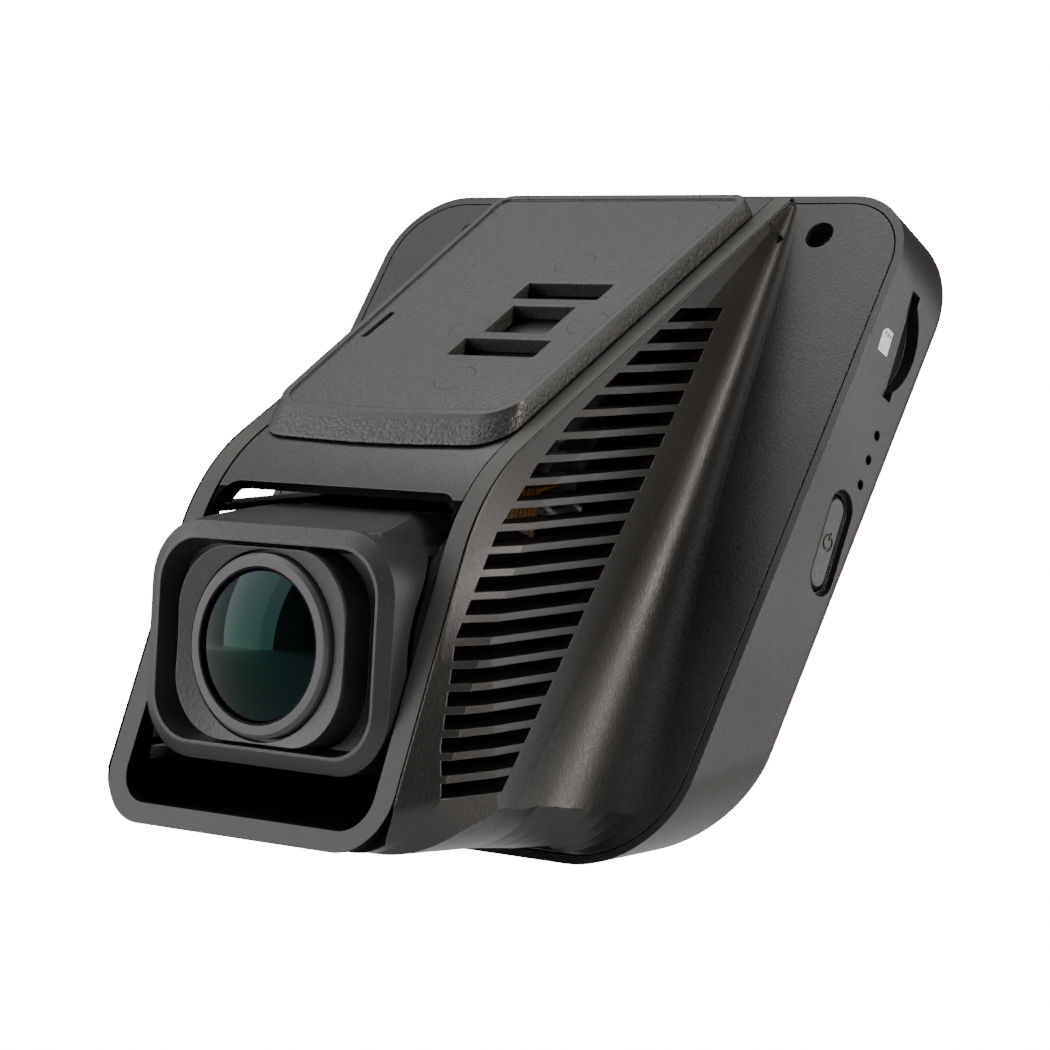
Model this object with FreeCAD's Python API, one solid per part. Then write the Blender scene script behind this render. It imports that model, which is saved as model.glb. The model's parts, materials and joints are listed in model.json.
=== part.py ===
"""Windscreen dash camera: a leaning screen case, a wedge-shaped lens cradle and a slide-on bracket.

Millimetres.  +X is the card-slot side, -Y is where the lens looks, +Z is up.
Three working frames share the X axis:
  body  - lens axis level, origin at the middle of the screen case's front face
  case  - (x, depth behind the front face, height up the leaning face)
  rail  - (x, distance up the windscreen slope, height above a plane through the body origin)
Every piece is moved at export so that the origin is the middle of the bracket's glued face.
"""
import FreeCAD
import Part
import math
import os

V = FreeCAD.Vector

# ---------------------------------------------------------------- driving sizes
case_width = 66.0
case_height = 75.8
case_depth = 10.6
case_lean = 31.3            # degrees the screen leans back
case_wall = 1.6
corner_top = 8.2
corner_bottom = 10.0
back_drop = 6.6             # how far the back outline's lower edge sits above the front's
back_rise = 3.5             # how far its upper edge sits above the front's
back_corner = 13.0
back_round = 1.4
lip = 0.9                   # rim of the rear shell seen round the front face
face_thick = 1.8
seam_gap = 0.16
fit_gap = 0.2               # between fixed plastic pieces
move_gap = 0.3              # between pieces that move past each other

rail_rake = 32.5            # windscreen slope
rail_height = 16.8          # rail line above the body origin, square to the slope
rim_knee = (-28.15, 1.99)   # where the rail line meets the front rim line, before rounding
rim_slope = 0.353           # forward travel of the front rim per millimetre down
knee_round = 20.0
base_z = -31.45
rim_half = 17.5
rim_band = 2.2
rim_depth = 1.6
rim_corner = 5.5
rim_foot = 1.9
floor_thick = 1.6
opening_top_z = 0.85

panel_x = 20.8              # side panel's distance from the middle at panel_ref
panel_ref = (-31.7, -16.4)
panel_flare = 0.04
panel_draft = -0.10
crease_top = (19.4, 32.0)
crease_knee = (-22.6, 0.1)
crease_round = 16.0
base_bevel = 0.8
crease_foot_y = -39.8
cradle_wall = 1.8
cove_radii = ((38.2, 0.35), (7.6, 3.0), (-20.0, 6.4), (-30.0, 8.2), (-46.0, 10.6))  # (up, radius)
flank_x = 20.3              # where the chamfer beside the rim ends, low on the cradle
flank_back = 3.15
flank_flare = 0.264
flank_run = 8.35
keel_radius = 7.0           # rounding along the cradle's lower edges
keel_half = 22.25
keel_cove = 9.4
keel_steps = (0.8, 0.0, -0.15, -0.5, -1.1, -2.0, -3.1, -4.5, -6.2, -9.4, -36.0)

vent_count = 22
vent_pitch = 1.9755
vent_slot = 1.3
vent_low_z = -25.87         # foot of the lowest slot at vent_ref_y
vent_ref_y = -33.0
vent_rise = 4.8             # degrees the slots climb towards the back
vent_back_top = (6.6, 20.2)
vent_back_foot = (-28.4, -25.7)
vent_front = ((-35.0, -27.0), (-34.3, -21.5), (-32.95, -16.0), (-31.9, -12.0), (-29.6, -7.5),
              (-26.8, -2.1), (-21.8, 3.6), (-16.6, 7.9), (1.2, 20.2))

plate_right = 15.2
plate_left_front = -15.3
plate_left_back = -17.6
plate_front = -17.3         # foot of the sloping nose
plate_nose = 2.9
plate_bow = 0.8
plate_back = 30.9
plate_thick = 1.75
plate_corner = 4.0
plate_draft = 0.35
seat_sink = 0.25
seat_border = 0.75
plate_windows = ((-0.6, 8.63, 10.7, 3.27), (0.7, 1.83, 7.8, 5.37), (-0.6, -2.77, 10.7, 3.37))
plate_travel = 14.0
plate_lift = 0.15
tray_thick = 2.2
tray_corner = 2.2
baffle_y = -23.6
baffle_clear = 14.0         # lower edge's height over the tilt axis
hook_x = 11.0
hook_web = 1.2
hook_foot = 2.6
hook_from = -4.0
hook_to = 6.0

lens_z = -14.0
drum_y = -22.0
drum_r = 11.4
drum_half = 13.4
pivot_r = 2.4
pivot_hole = 2.45
hub_r = 5.0
pivot_disc_r = 11.9
hood_front_y = -37.1
hood_half_w = 15.0
hood_half_h = 11.1
hood_corner = 6.0
hood_bevel = 1.4
hood_bevel_deep = 0.7
groove_depth = 2.6
roof_r = 12.9                # height of the pod's roof over the tilt axis
face_half_w = 10.2
face_half_h = 9.0
face_corner = 6.2
ring_outer = 8.5
ring_inner = 7.3
ring_proud = 0.75
boss_proud = 0.8
dish_r = 12.0               # shallow cone sunk round the lens ring
dish_deep = 0.75
ring_moat = 0.35
seal_inner = 7.1
seal_thick = 0.32
lens_crown = 1.5
barrel_r = 7.0

side_lean = 8.0             # degrees the side features lean from the case's upright
card_width = 11.0
card_length = 15.0
card_thick = 1.0
card_up = 23.5
card_depth_at = 5.3
card_recess = 0.7
scoop_sag = 2.7
scoop_deep = 1.4
sound_holes = ((6.9, 14.1), (7.05, 11.4), (7.3, 8.7))
sound_hole_r = 0.5
power_up = 1.5
power_depth_at = 6.4
power_length = 9.6
power_width = 3.0
power_travel = 0.4
power_sink = 0.45
power_stem = 1.6
key_gap = 0.22

board_depth = 3.2
board_thick = 1.0
board_half = 26.0
board_low = -33.0
board_high = 29.0
glass_w = 54.0
glass_h = 41.0
glass_up = 10.0
glass_thick = 0.9
lcd_w = 50.6
lcd_h = 38.6
lcd_depth = 7.15
lcd_thick = 1.75
view_w = 46.8
view_h = 35.1
key_count = 4
key_w = 8.6
key_h = 4.2
key_pitch = 12.2
key_up = -25.0
key_proud = 0.4
key_flange = 0.7
key_travel = 0.3
screw_x = 22.4
screw_up = 33.05
screw_hole_r = 1.55
usb_up = -15.5
switch_top = 6.2
spreader_x = -3.5
spreader_half = 11.0
spreader_low = -1.0
spreader_high = 15.5
ribbon_x = (8.4, 12.0)
ribbon_slot = (3.6, 8.6)
board_posts = ((-22.5, 24.0), (10.5, 24.5), (-20.5, -30.0), (20.5, -30.0))
board_notch = (14.5, 16.5)   # corner cut away beside the card socket

# ---------------------------------------------------------------- helpers
lean = math.radians(case_lean)
rake = math.radians(rail_rake)


def turned_x(shape, degrees):
    out = shape.copy()
    out.rotate(V(0, 0, 0), V(1, 0, 0), degrees)
    return out


def from_case(shape):
    """Case frame (x, depth, up) to the body frame."""
    return turned_x(shape, -case_lean)


def from_rail(shape):
    """Rail frame (x, up the slope, height) to the body frame."""
    return turned_x(shape, rail_rake)


def case_point(x, depth, up):
    return V(x, depth * math.cos(lean) + up * math.sin(lean),
             -depth * math.sin(lean) + up * math.cos(lean))


def rail_point(x, along, height):
    return V(x, along * math.cos(rake) - height * math.sin(rake),
             along * math.sin(rake) + height * math.cos(rake))


def box(x0, x1, y0, y1, z0, z1):
    return Part.makeBox(x1 - x0, y1 - y0, z1 - z0, V(x0, y0, z0))


def cylinder(radius, length, start, direction):
    return Part.makeCylinder(radius, length, start, direction)


def tube(outer, inner, length, start, direction):
    return cylinder(outer, length, start, direction).cut(
        cylinder(inner, length + 2, start - direction, direction))


def rounded_wire(points, radii):
    """Closed wire through points in one plane, each corner rounded by its own radius."""
    edges = []
    count = len(points)
    ends = []
    for i in range(count):
        here = points[i]
        before = (points[i - 1] - here).normalize()
        after = (points[(i + 1) % count] - here).normalize()
        radius = radii[i]
        if radius <= 0:
            ends.append((here, here, None))
            continue
        half = before.getAngle(after) / 2
        reach = radius / math.tan(half)
        middle = (before + after).normalize()
        centre = here + middle * (radius / math.sin(half))
        ends.append((here + before * reach, here + after * reach, centre - middle * radius))
    for i in range(count):
        start, stop, crown = ends[i]
        if crown is not None:
            edges.append(Part.Arc(start, crown, stop).toShape())
        edges.append(Part.LineSegment(stop, ends[(i + 1) % count][0]).toShape())
    return Part.Wire(edges)


def prism(points, radii, sweep):
    return Part.Face(rounded_wire(points, radii)).extrude(sweep)


def block_xz(half_w, z0, z1, radii, y0, y1, x_mid=0.0):
    """Rounded rectangle seen from the front, extruded along Y.  Radii: low -X, low +X, top +X, top -X."""
    corners = [V(x_mid - half_w, y0, z0), V(x_mid + half_w, y0, z0),
               V(x_mid + half_w, y0, z1), V(x_mid - half_w, y0, z1)]
    return prism(corners, radii, V(0, y1 - y0, 0))


def block_xy(x0, x1, y0, y1, radius, z0, z1):
    corners = [V(x0, y0, z0), V(x1, y0, z0), V(x1, y1, z0), V(x0, y1, z0)]
    return prism(corners, [radius] * 4, V(0, 0, z1 - z0))


def block_yz(y0, y1, z0, z1, radius, x0, x1):
    corners = [V(x0, y0, z0), V(x0, y1, z0), V(x0, y1, z1), V(x0, y0, z1)]
    return prism(corners, [radius] * 4, V(x1 - x0, 0, 0))


def side_prism(points, radii, half):
    """Side profile in (y, z), extruded from -half to +half in X."""
    return prism([V(-half, y, z) for y, z in points], radii, V(2 * half, 0, 0))


def mirrored(shape):
    return shape.mirror(V(0, 0, 0), V(1, 0, 0))


def both_sides(shape):
    return [shape, mirrored(shape)]


def fused(shapes):
    out = shapes[0].multiFuse(shapes[1:]) if len(shapes) > 1 else shapes[0]
    return out.removeSplitter()


# ---------------------------------------------------------------- shared outlines
def rim_y(z, inset=0.0):
    """Front rim line: how far forward the rim stands at height z."""
    return rim_knee[0] + rim_slope * (z - rim_knee[1]) + inset * math.hypot(1, rim_slope)


def rail_z(y, inset=0.0):
    """Height of the rail line at y."""
    return (rail_height - inset) / math.cos(rake) + y * math.tan(rake)


def face_y(z, depth=0.0):
    """Y of the case's front face, or of a plane behind it, at height z."""
    return (depth + z * math.sin(lean)) / math.cos(lean)


def panel_at(y, z, inset=0.0):
    """X of the side panel."""
    return panel_x + panel_flare * (y - panel_ref[0]) + panel_draft * (z - panel_ref[1]) - inset


def case_outline(depth, inset):
    """Outline of the screen case at a depth, shrunk by inset; returns a wire in the case frame."""
    share = depth / case_depth
    low = -case_height / 2 + back_drop * share + inset
    high = case_height / 2 + back_rise * share - inset
    half = case_width / 2 - inset
    r_low = corner_bottom + (back_corner - corner_bottom) * share - inset
    r_high = corner_top + (back_corner - corner_top) * share - inset
    corners = [V(-half, depth, low), V(half, depth, low), V(half, depth, high), V(-half, depth, high)]
    return rounded_wire(corners, [r_low, r_low, r_high, r_high])


def case_loft(depth0, depth1, inset):
    return Part.makeLoft([case_outline(depth0, inset), case_outline(depth1, inset)], True, True)


def cradle_points(inset, depth, floor=None):
    """Side profile of the cradle: rail line, knee, rim line, base, and a plane behind the case's face."""
    slope = math.tan(rake)
    top_z = (rail_z(0, inset) + slope * depth / math.cos(lean)) / (1 - slope * math.tan(lean))
    knee_z = (rail_z(0, inset) + slope * rim_y(0, inset)) / (1 - slope * rim_slope)
    foot_z = base_z + (inset if floor is None else floor)
    return [(face_y(top_z, depth), top_z), (rim_y(knee_z, inset), knee_z),
            (rim_y(foot_z, inset), foot_z), (face_y(foot_z, depth), foot_z)]


def cradle_block(inset, depth, half, floor=None):
    return side_prism(cradle_points(inset, depth, floor), [0, knee_round - inset, 0, 0], half)


def crease_points(inset, depth):
    """Side profile along the crease between the chamfer and the side panel."""
    top, knee = crease_top, crease_knee
    foot = (crease_foot_y, base_z)
    rise = (top[1] - knee[1]) / (top[0] - knee[0])
    drop = inset * math.hypot(1, rise)
    run = (foot[0] - knee[0]) / (foot[1] - knee[1])
    push = inset * math.hypot(1, run)
    at_zero = knee[1] - rise * knee[0] - drop
    top_z = (at_zero + rise * depth / math.cos(lean)) / (1 - rise * math.tan(lean))
    knee_z = (at_zero + rise * (knee[0] - run * knee[1] + push)) / (1 - rise * run)
    foot_z = base_z + base_bevel + inset
    return [(face_y(top_z, depth), top_z), (knee[0] + run * (knee_z - knee[1]) + push, knee_z),
            (foot[0] + run * (foot_z - foot[1]) + push, foot_z), (face_y(foot_z, depth), foot_z)]


def crease_wire(inset, depth):
    """The crease profile laid on the side panel."""
    flat = rounded_wire([V(0, y, z) for y, z in crease_points(inset, depth)],
                        [0, crease_round, 0, 0])
    edges = []
    for edge in flat.OrderedEdges:
        first, last = edge.FirstParameter, edge.LastParameter
        spots = [edge.valueAt(first + (last - first) * f) for f in (0, 0.5, 1)]
        spots = [V(panel_at(p.y, p.z, inset), p.y, p.z) for p in spots]
        if edge.Curve.TypeId == "Part::GeomCircle":
            edges.append(Part.Arc(*spots).toShape())
        else:
            edges.append(Part.LineSegment(spots[0], spots[2]).toShape())
    return Part.Wire(edges)


def cradle_cheek(inset, depth, root_x):
    """Side of the cradle, from x = root_x out to the side panel."""
    inner = rounded_wire([V(root_x, y, z) for y, z in cradle_points(inset, depth)],
                         [0, knee_round - inset, 0, 0])
    inner = Part.Wire(inner.OrderedEdges)
    return Part.makeLoft([inner, crease_wire(inset, depth)], True, True)


def flank():
    """Everything between the two flanks: chamfers round the front rim, then walls that open backwards."""
    edge = rim_half + fit_gap + 0.05
    waist = flank_back + flank_run
    sections = [(-8, edge, 0, rim_corner), (0.12, edge, 0, rim_corner),
                (flank_back, flank_x, 0, keel_radius),
                (waist, flank_x + flank_flare * flank_run, 6, keel_radius),
                (waist + 0.7, 70, 20, keel_radius), (150, 70, 20, keel_radius)]
    wires = []
    for back, half, drop, radius in sections:
        low, high = base_z - drop, 70
        points = [V(-half, rim_y(low) + back, low), V(half, rim_y(low) + back, low),
                  V(half, rim_y(high) + back, high), V(-half, rim_y(high) + back, high)]
        wires.append(rounded_wire(points, [radius, radius, 0, 0]))
    return Part.makeLoft(wires, True, True)


def cove_section(up, radius):
    """Section across the hollow between the side panel and the case's face, in the case frame."""
    foot_y, foot_z = up * math.sin(lean), up * math.cos(lean)
    corner = panel_at(foot_y, foot_z)
    tilt = -panel_flare * math.cos(lean) + panel_draft * math.sin(lean)
    wall = V(tilt, -1, 0).normalize()
    reach = radius / math.tan(math.acos(wall.x) / 2)
    on_wall = V(corner, 0, up) + V(wall.x, wall.y, 0) * reach
    on_face = V(corner + reach, 0, up)
    centre = on_face + V(0, -radius, 0)
    crown = centre + (V(corner, 0, up) - centre).normalize() * radius
    root = V(-1.2, 0, 0)
    sunk = V(0, 0.8, 0)
    ring = [on_face + sunk, V(corner, 0, up) + root + sunk, on_wall + root]
    spots = [on_face] + ring + [on_wall]
    edges = [Part.Arc(on_wall, crown, on_face).toShape()]
    edges += [Part.LineSegment(p, q).toShape() for p, q in zip(spots, spots[1:])]
    return Part.Wire(edges)


def cove():
    """Flared hollow at the foot of one side panel, trimmed to the front face's outline."""
    sections = [cove_section(up, radius) for up, radius in cove_radii]
    body = Part.makeLoft(sections, True, False)
    trim = from_case(Part.Face(case_outline(0.9, lip + seam_gap))).extrude(V(0, -40, 0))
    return from_case(body).common(trim)


def keel():
    """Everything inside the cradle's rounded lower edges, which flare out into the case's lower corners."""
    wires = []
    for depth in keel_steps:
        reach = max(keel_cove + min(depth, 0), 0)
        half = keel_half + keel_cove - math.sqrt(keel_cove ** 2 - reach ** 2)
        low = (base_z + depth * math.sin(lean)) / math.cos(lean)
        radius = keel_radius + (corner_bottom - lip - keel_radius) * reach / keel_cove
        points = [V(-half, depth, low), V(half, depth, low), V(half, depth, 60), V(-half, depth, 60)]
        wires.append(rounded_wire(points, [radius, radius, 0, 0]))
    return from_case(Part.makeLoft(wires, True, True))


def vent_slots():
    """Slots through one side panel, cut off at the two ends of the vent field."""
    corners = list(vent_front) + [vent_back_top, vent_back_foot]
    window = prism([V(rim_half - 2.5, y, z) for y, z in corners],
                   [0] * len(corners), V(12, 0, 0))
    slots = []
    for i in range(vent_count):
        slot = box(rim_half - 3, rim_half + 10, -10, 50, 0, vent_slot)
        slot.rotate(V(0, 0, 0), V(1, 0, 0), vent_rise)
        slot.translate(V(0, vent_ref_y, vent_low_z + i * vent_pitch))
        slots.append(slot)
    return Part.makeCompound(slots).common(window)


def u_shape(half, low, radius):
    """Front view of the lens opening's frame: straight sides, rounded lower corners."""
    return block_xz(half, low, 60, [radius, radius, 0, 0], -60, 40)


# ---------------------------------------------------------------- case shells
def side_slot(length, width, up, depth_at, x0, x1):
    """Round-ended slot in the side wall, leaning with the side features; case frame."""
    r = width / 2 - 0.01
    slot = block_yz(-width / 2, width / 2, -length / 2, length / 2, r, x0, x1)
    slot.rotate(V(0, 0, 0), V(1, 0, 0), side_lean)
    slot.translate(V(0, depth_at, up))
    return slot


def card_box(grow, x0, x1):
    """Space for the memory card, grown all round; case frame."""
    half_w, half_t = card_width / 2 + grow, card_thick / 2 + grow
    body = box(x0, x1, -half_t, half_t, -half_w, half_w)
    body.rotate(V(0, 0, 0), V(1, 0, 0), side_lean)
    body.translate(V(0, card_depth_at, card_up))
    return body


def card_scoop():
    """Crescent finger scoop beside the card slot; case frame."""
    chord = card_width * 0.96
    radius = (chord * chord / 4 + scoop_sag ** 2) / (2 * scoop_sag)
    disc = cylinder(radius, scoop_deep + 2, V(0, scoop_sag - radius, 0), V(1, 0, 0))
    keep = box(-1, 6, -0.2, 10, -20, 20)
    scoop = disc.common(keep)
    scoop.rotate(V(0, 0, 0), V(1, 0, 0), side_lean)
    scoop.translate(V(case_width / 2 - scoop_deep, card_depth_at, card_up))
    return scoop


def icon_plate(grow):
    """Small memory-card pictogram let into the side wall; case frame."""
    x = case_width / 2 - 0.12
    corners = [V(x, -0.9, -1.3), V(x, 0.9, -1.3), V(x, 0.9, 1.3), V(x, -0.3, 1.3), V(x, -0.9, 0.7)]
    card = prism(corners, [0.15] * 5, V(0.12, 0, 0))
    pins = [box(x - 1, x + 1, -0.35 + i * 0.42, -0.15 + i * 0.42, 0.5, 0.95) for i in range(3)]
    if grow:
        card = card.makeOffsetShape(grow, 0.001)
    else:
        card = card.cut(Part.makeCompound(pins))
    card.rotate(V(0, 0, 0), V(1, 0, 0), side_lean)
    card.translate(V(0, card_depth_at - 2.7, card_up - 1.2))
    return card


def key_x(i):
    return (i - (key_count - 1) / 2) * key_pitch


def rear_shell():
    outer = case_loft(0, case_depth, 0)
    rim = [e for e in outer.Edges if all(abs(v.Y - case_depth) < 1e-6 for v in e.Vertexes)]
    outer = outer.makeFillet(back_round, rim)
    back_wall = case_depth - case_wall
    cuts = [case_loft(-0.5, face_thick + 0.15, lip), case_loft(face_thick, back_wall, case_wall)]
    half_w, half_h = glass_w / 2 + fit_gap, glass_h / 2 + fit_gap
    seat = case_depth - glass_thick - 0.15
    cuts.append(block_xz(half_w, glass_up - half_h, glass_up + half_h, [3] * 4, seat, case_depth + 1))
    cuts.append(block_xz(view_w / 2, glass_up - view_h / 2, glass_up + view_h / 2, [1] * 4,
                         back_wall - 1, case_depth))
    for i in range(key_count):
        cuts.append(block_xz(key_w / 2 + key_gap, key_up - key_h / 2 - key_gap,
                             key_up + key_h / 2 + key_gap, [1.4] * 4, back_wall - 1,
                             case_depth + 1, key_x(i)))
    half = case_width / 2
    cuts.append(card_box(0.25, half - 3, half + 1))
    cuts.append(card_scoop())
    cuts.append(side_slot(power_length + 2 * key_gap, power_width + 2 * key_gap, power_up,
                          power_depth_at, half - 3, half + 1))
    cuts.append(side_slot(power_length + 1.2, power_width + 1.1, power_up, power_depth_at,
                          half - 0.7, half + 1))
    for depth, up in sound_holes:
        cuts.append(cylinder(sound_hole_r, 4, V(half - 3, depth, up), V(1, 0, 0)))
    cuts.append(usb_body(0.15, -half - 1))
    cuts.append(icon_plate(0.02))
    shell = outer.cut(cuts)
    bosses = []
    for side in (-1, 1):
        start = V(side * screw_x, face_thick + 0.1, screw_up)
        post = cylinder(2.4, back_wall - start.y + 0.2, start, V(0, 1, 0))
        post = post.cut(cylinder(1.5, 1.1, start, V(0, 1, 0)))
        bosses.append(post.cut(cylinder(0.82, 5.6, start, V(0, 1, 0))))
    return from_case(fused([shell] + bosses))


def front_shell():
    plate = case_loft(0, face_thick, lip + seam_gap)
    cradle = fused([cradle_block(0, 0.6, rim_half + fit_gap)]
                   + both_sides(cradle_cheek(0, 0.6, rim_half + fit_gap)) + both_sides(cove()))
    outside = fused([from_case(plate), cradle.common(keel()).common(flank())])
    channel = cradle_block(-3, -0.1, rim_half + 5, -3).cut(
        cradle_block(rim_depth + fit_gap, 5, rim_half + 9, -5))
    channel = channel.common(u_shape(rim_half + fit_gap, base_z - 1, rim_corner))
    hollow = cradle_block(rim_depth + fit_gap, 0, rim_half - cradle_wall, floor_thick)
    vents = vent_slots()
    cuts = [channel, hollow, vents, mirrored(vents)]
    cuts.append(cylinder(drum_r + 0.7, 2 * (rim_half - cradle_wall),
                         V(cradle_wall - rim_half, drum_y, lens_z), V(1, 0, 0)))
    cuts.append(from_case(box(spreader_x - spreader_half - 0.3, spreader_x + spreader_half + 0.3, -1,
                              face_thick + 1, spreader_low - 0.3, spreader_high + 0.3)))
    cuts.append(from_case(box(ribbon_x[0] - 0.3, ribbon_x[1] + 0.3, -1, face_thick + 1,
                              ribbon_slot[0], ribbon_slot[1])))
    for side in (-1, 1):
        start = case_point(side * screw_x, -3, screw_up)
        cuts.append(cylinder(screw_hole_r, 8, start, case_point(0, 1, 0)))
        cuts.append(cylinder(pivot_r + 0.03, 3.0, V(side * 14.2, drum_y, lens_z), V(side, 0, 0)))
    cuts.append(cylinder(0.5, 3, rail_point(18.3, 28.4, 14.5), rail_point(0, 0, 1)))
    below_top = from_case(box(-60, 60, -90, 20, -90, case_height / 2 - lip - seam_gap))
    shell = outside.common(below_top).cut(cuts)
    posts = []
    for x, up in board_posts:
        start = case_point(x, face_thick - 0.1, up)
        posts.append(from_case(cylinder(1.7, board_depth - face_thick + 0.05,
                                        V(x, face_thick - 0.1, up), V(0, 1, 0)))
                     .cut(cylinder(0.72, 4, start, case_point(0, 1, 0))))
    return fused([shell] + posts)


def bezel_frame():
    band = cradle_block(0.05, -0.15, rim_half, 0).common(u_shape(rim_half, base_z, rim_corner))
    inner = u_shape(rim_half - rim_band, base_z + rim_foot, rim_corner - rim_band)
    behind = cradle_block(rim_depth, 20, rim_half + 9, -5)
    return band.cut([inner, behind])


def tray_cover():
    half = rim_half - rim_band - fit_gap
    skin = cradle_block(0.1, -0.15, half, 0).cut(cradle_block(tray_thick, 20, half + 9, 0))
    skin = skin.common(box(-60, 60, -60, 60, opening_top_z - tray_corner, 60))
    skin = skin.cut(block_xz(half - 0.4, -60, opening_top_z, [0, 0, tray_corner, tray_corner], -60, 60))
    web0, web1 = hook_x - hook_web / 2 - move_gap, hook_x + hook_web / 2 + move_gap
    foot1 = hook_x + hook_foot + move_gap
    start, stop = hook_from - move_gap, hook_to + plate_travel + move_gap
    low, high = rail_height - 6, rail_height + 1
    slot = from_rail(box(web0, web1, start, stop, low, high))
    entry = from_rail(box(web0, foot1, start + plate_travel, stop, low, high))
    return skin.cut(both_sides(slot) + both_sides(entry))


def light_baffle():
    """Black felt strip hung under the tray cover, behind the upper edge of the lens opening."""
    half = rim_half - rim_band - fit_gap - 0.4
    strip = box(-half, half, baffle_y, baffle_y + 1.2, lens_z + baffle_clear, 60)
    return strip.common(cradle_block(tray_thick + 0.03, 20, 60, 0))


def plate_wire(inset, nose, height):
    """Outline of the bracket plate: bowed front edge, one side flared towards the back; rail frame."""
    front = plate_front + nose
    right = plate_right - inset
    back = plate_back - inset
    points = [V(plate_left_front + inset, front + plate_bow, height),
              V((plate_left_front + plate_right) / 2, front, height), V(right, front + plate_bow, height),
              V(right, back, height), V(plate_left_back + inset, back, height)]
    corner = plate_corner - inset
    return rounded_wire(points, [corner, 120, corner, 2.2 - inset, 2.2 - inset])


def windscreen_bracket():
    low = rail_height + plate_lift
    high = low + plate_thick
    slim = plate_draft
    bottom = plate_wire(0, 0, low)
    top = plate_wire(slim, plate_nose, high)
    plate = Part.makeLoft([bottom, top], True, True)
    recess = plate_wire(slim + seat_border, plate_nose + seat_border, high - seat_sink)
    cuts = [Part.Face(recess).extrude(V(0, 0, 1))]
    for x, along, width, length in plate_windows:
        cuts.append(block_xy(x, x + width, along, along + length, 0.3, low - 1, high + 1))
    left = plate_left_front + slim + seat_border + 0.25
    cuts.append(block_xy(left, left + 0.8, 0.2, 5.4, 0.3, high - 1.2, high + 1))
    plate = plate.cut(cuts)
    hooks = []
    foot_top = rail_height - tray_thick - move_gap
    web0, web1 = hook_x - hook_web / 2, hook_x + hook_web / 2
    hooks += both_sides(box(web0, web1, hook_from, hook_to, foot_top - 1.0, low + 0.2))
    hooks += both_sides(box(web0, hook_x + hook_foot, hook_from, hook_to, foot_top - 1.0, foot_top))
    return from_rail(fused([plate] + hooks))


# ---------------------------------------------------------------- lens pod
def pod_box(half_w, half_h, radius, y0, y1):
    return block_xz(half_w, lens_z - half_h, lens_z + half_h, [radius] * 4, y0, y1)


def lens_disc(radius, y0, y1):
    return cylinder(radius, y1 - y0, V(0, y0, lens_z), V(0, 1, 0))


def lens_housing():
    shoulder = hood_front_y + hood_bevel_deep
    face = Part.makeLoft([
        pod_wire(hood_half_w - hood_bevel, hood_half_h - hood_bevel, hood_corner - hood_bevel,
                 hood_front_y),
        pod_wire(hood_half_w, hood_half_h, hood_corner, shoulder)], True, True)
    hood = fused([face, pod_box(hood_half_w, hood_half_h, hood_corner, shoulder, drum_y)])
    for side in (-1, 1):
        start = V(side * (drum_half + 0.05), drum_y, lens_z)
        hood = hood.cut(cylinder(pivot_disc_r + 0.4, 9, start, V(side, 0, 0)))
    drum = cylinder(drum_r, 2 * drum_half, V(-drum_half, drum_y, lens_z), V(1, 0, 0))
    roof_z, root_z = lens_z + roof_r, lens_z + hood_half_h - 4
    roof = side_prism([(shoulder + 1.5, root_z), (shoulder + 1.5, lens_z + hood_half_h - 0.1),
                       (drum_y - 4.5, roof_z), (drum_y + 2, roof_z), (drum_y + 2, root_z)],
                      [0, 0, 3, 1, 0], drum_half - 0.1)
    crown = block_xz(drum_half - 0.1, root_z - 1, roof_z, [0, 0, hood_corner, hood_corner],
                     hood_front_y, drum_y + 3)
    outside = fused([hood, drum, roof.common(crown)])
    lip_w, lip_h = hood_half_w - hood_bevel - 0.3, hood_half_h - hood_bevel - 0.3
    groove = Part.makeLoft([
        pod_wire(lip_w, lip_h, hood_corner - 1.5, hood_front_y),
        pod_wire(lip_w - 0.9, lip_h - 0.45, hood_corner - 2, hood_front_y + groove_depth)], True, True)
    boss = Part.makeLoft([
        pod_wire(face_half_w, face_half_h - 0.05, face_corner, hood_front_y - boss_proud),
        pod_wire(face_half_w + 0.5, face_half_h + 0.2, face_corner, hood_front_y + groove_depth)],
        True, True)
    dish = Part.makeCone(dish_r, ring_outer + 0.2, dish_deep, V(0, hood_front_y - boss_proud, lens_z),
                         V(0, 1, 0))
    outside = fused([outside.cut(groove), boss.cut(dish)])
    cuts = [lens_disc(ring_outer + 0.03, hood_front_y - 2, hood_front_y + 2.2)]
    cuts.append(lens_disc(ring_outer + ring_moat, hood_front_y - 2, hood_front_y + 0.9))
    cuts.append(lens_disc(barrel_r + 0.6, hood_front_y, drum_y))
    hollow_half = drum_half - 2.4
    cuts.append(cylinder(drum_r - 1.7, 2 * hollow_half, V(-hollow_half, drum_y, lens_z), V(1, 0, 0)))
    for side in (-1, 1):
        cuts.append(cylinder(pivot_hole, 4, V(side * (drum_half - 3), drum_y, lens_z), V(side, 0, 0)))
    cuts.append(box(ribbon_x[0] - 0.5, drum_half - 1, drum_y + 3, drum_y + 20, lens_z + 2, lens_z + 9.5))
    return outside.cut(cuts)


def pod_wire(half_w, half_h, radius, y):
    corners = [V(-half_w, y, lens_z - half_h), V(half_w, y, lens_z - half_h),
               V(half_w, y, lens_z + half_h), V(-half_w, y, lens_z + half_h)]
    return rounded_wire(corners, [radius] * 4)


def lens_ring():
    front, back = hood_front_y - ring_proud, hood_front_y + 2.1
    ring = tube(ring_outer, ring_inner, back - front, V(0, front, lens_z), V(0, 1, 0))
    lips = [e for e in ring.Edges
            if abs(e.BoundBox.YMax - front) < 1e-6 and e.BoundBox.XLength > 2 * ring_inner + 1]
    return ring.makeChamfer(0.35, lips)


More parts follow.
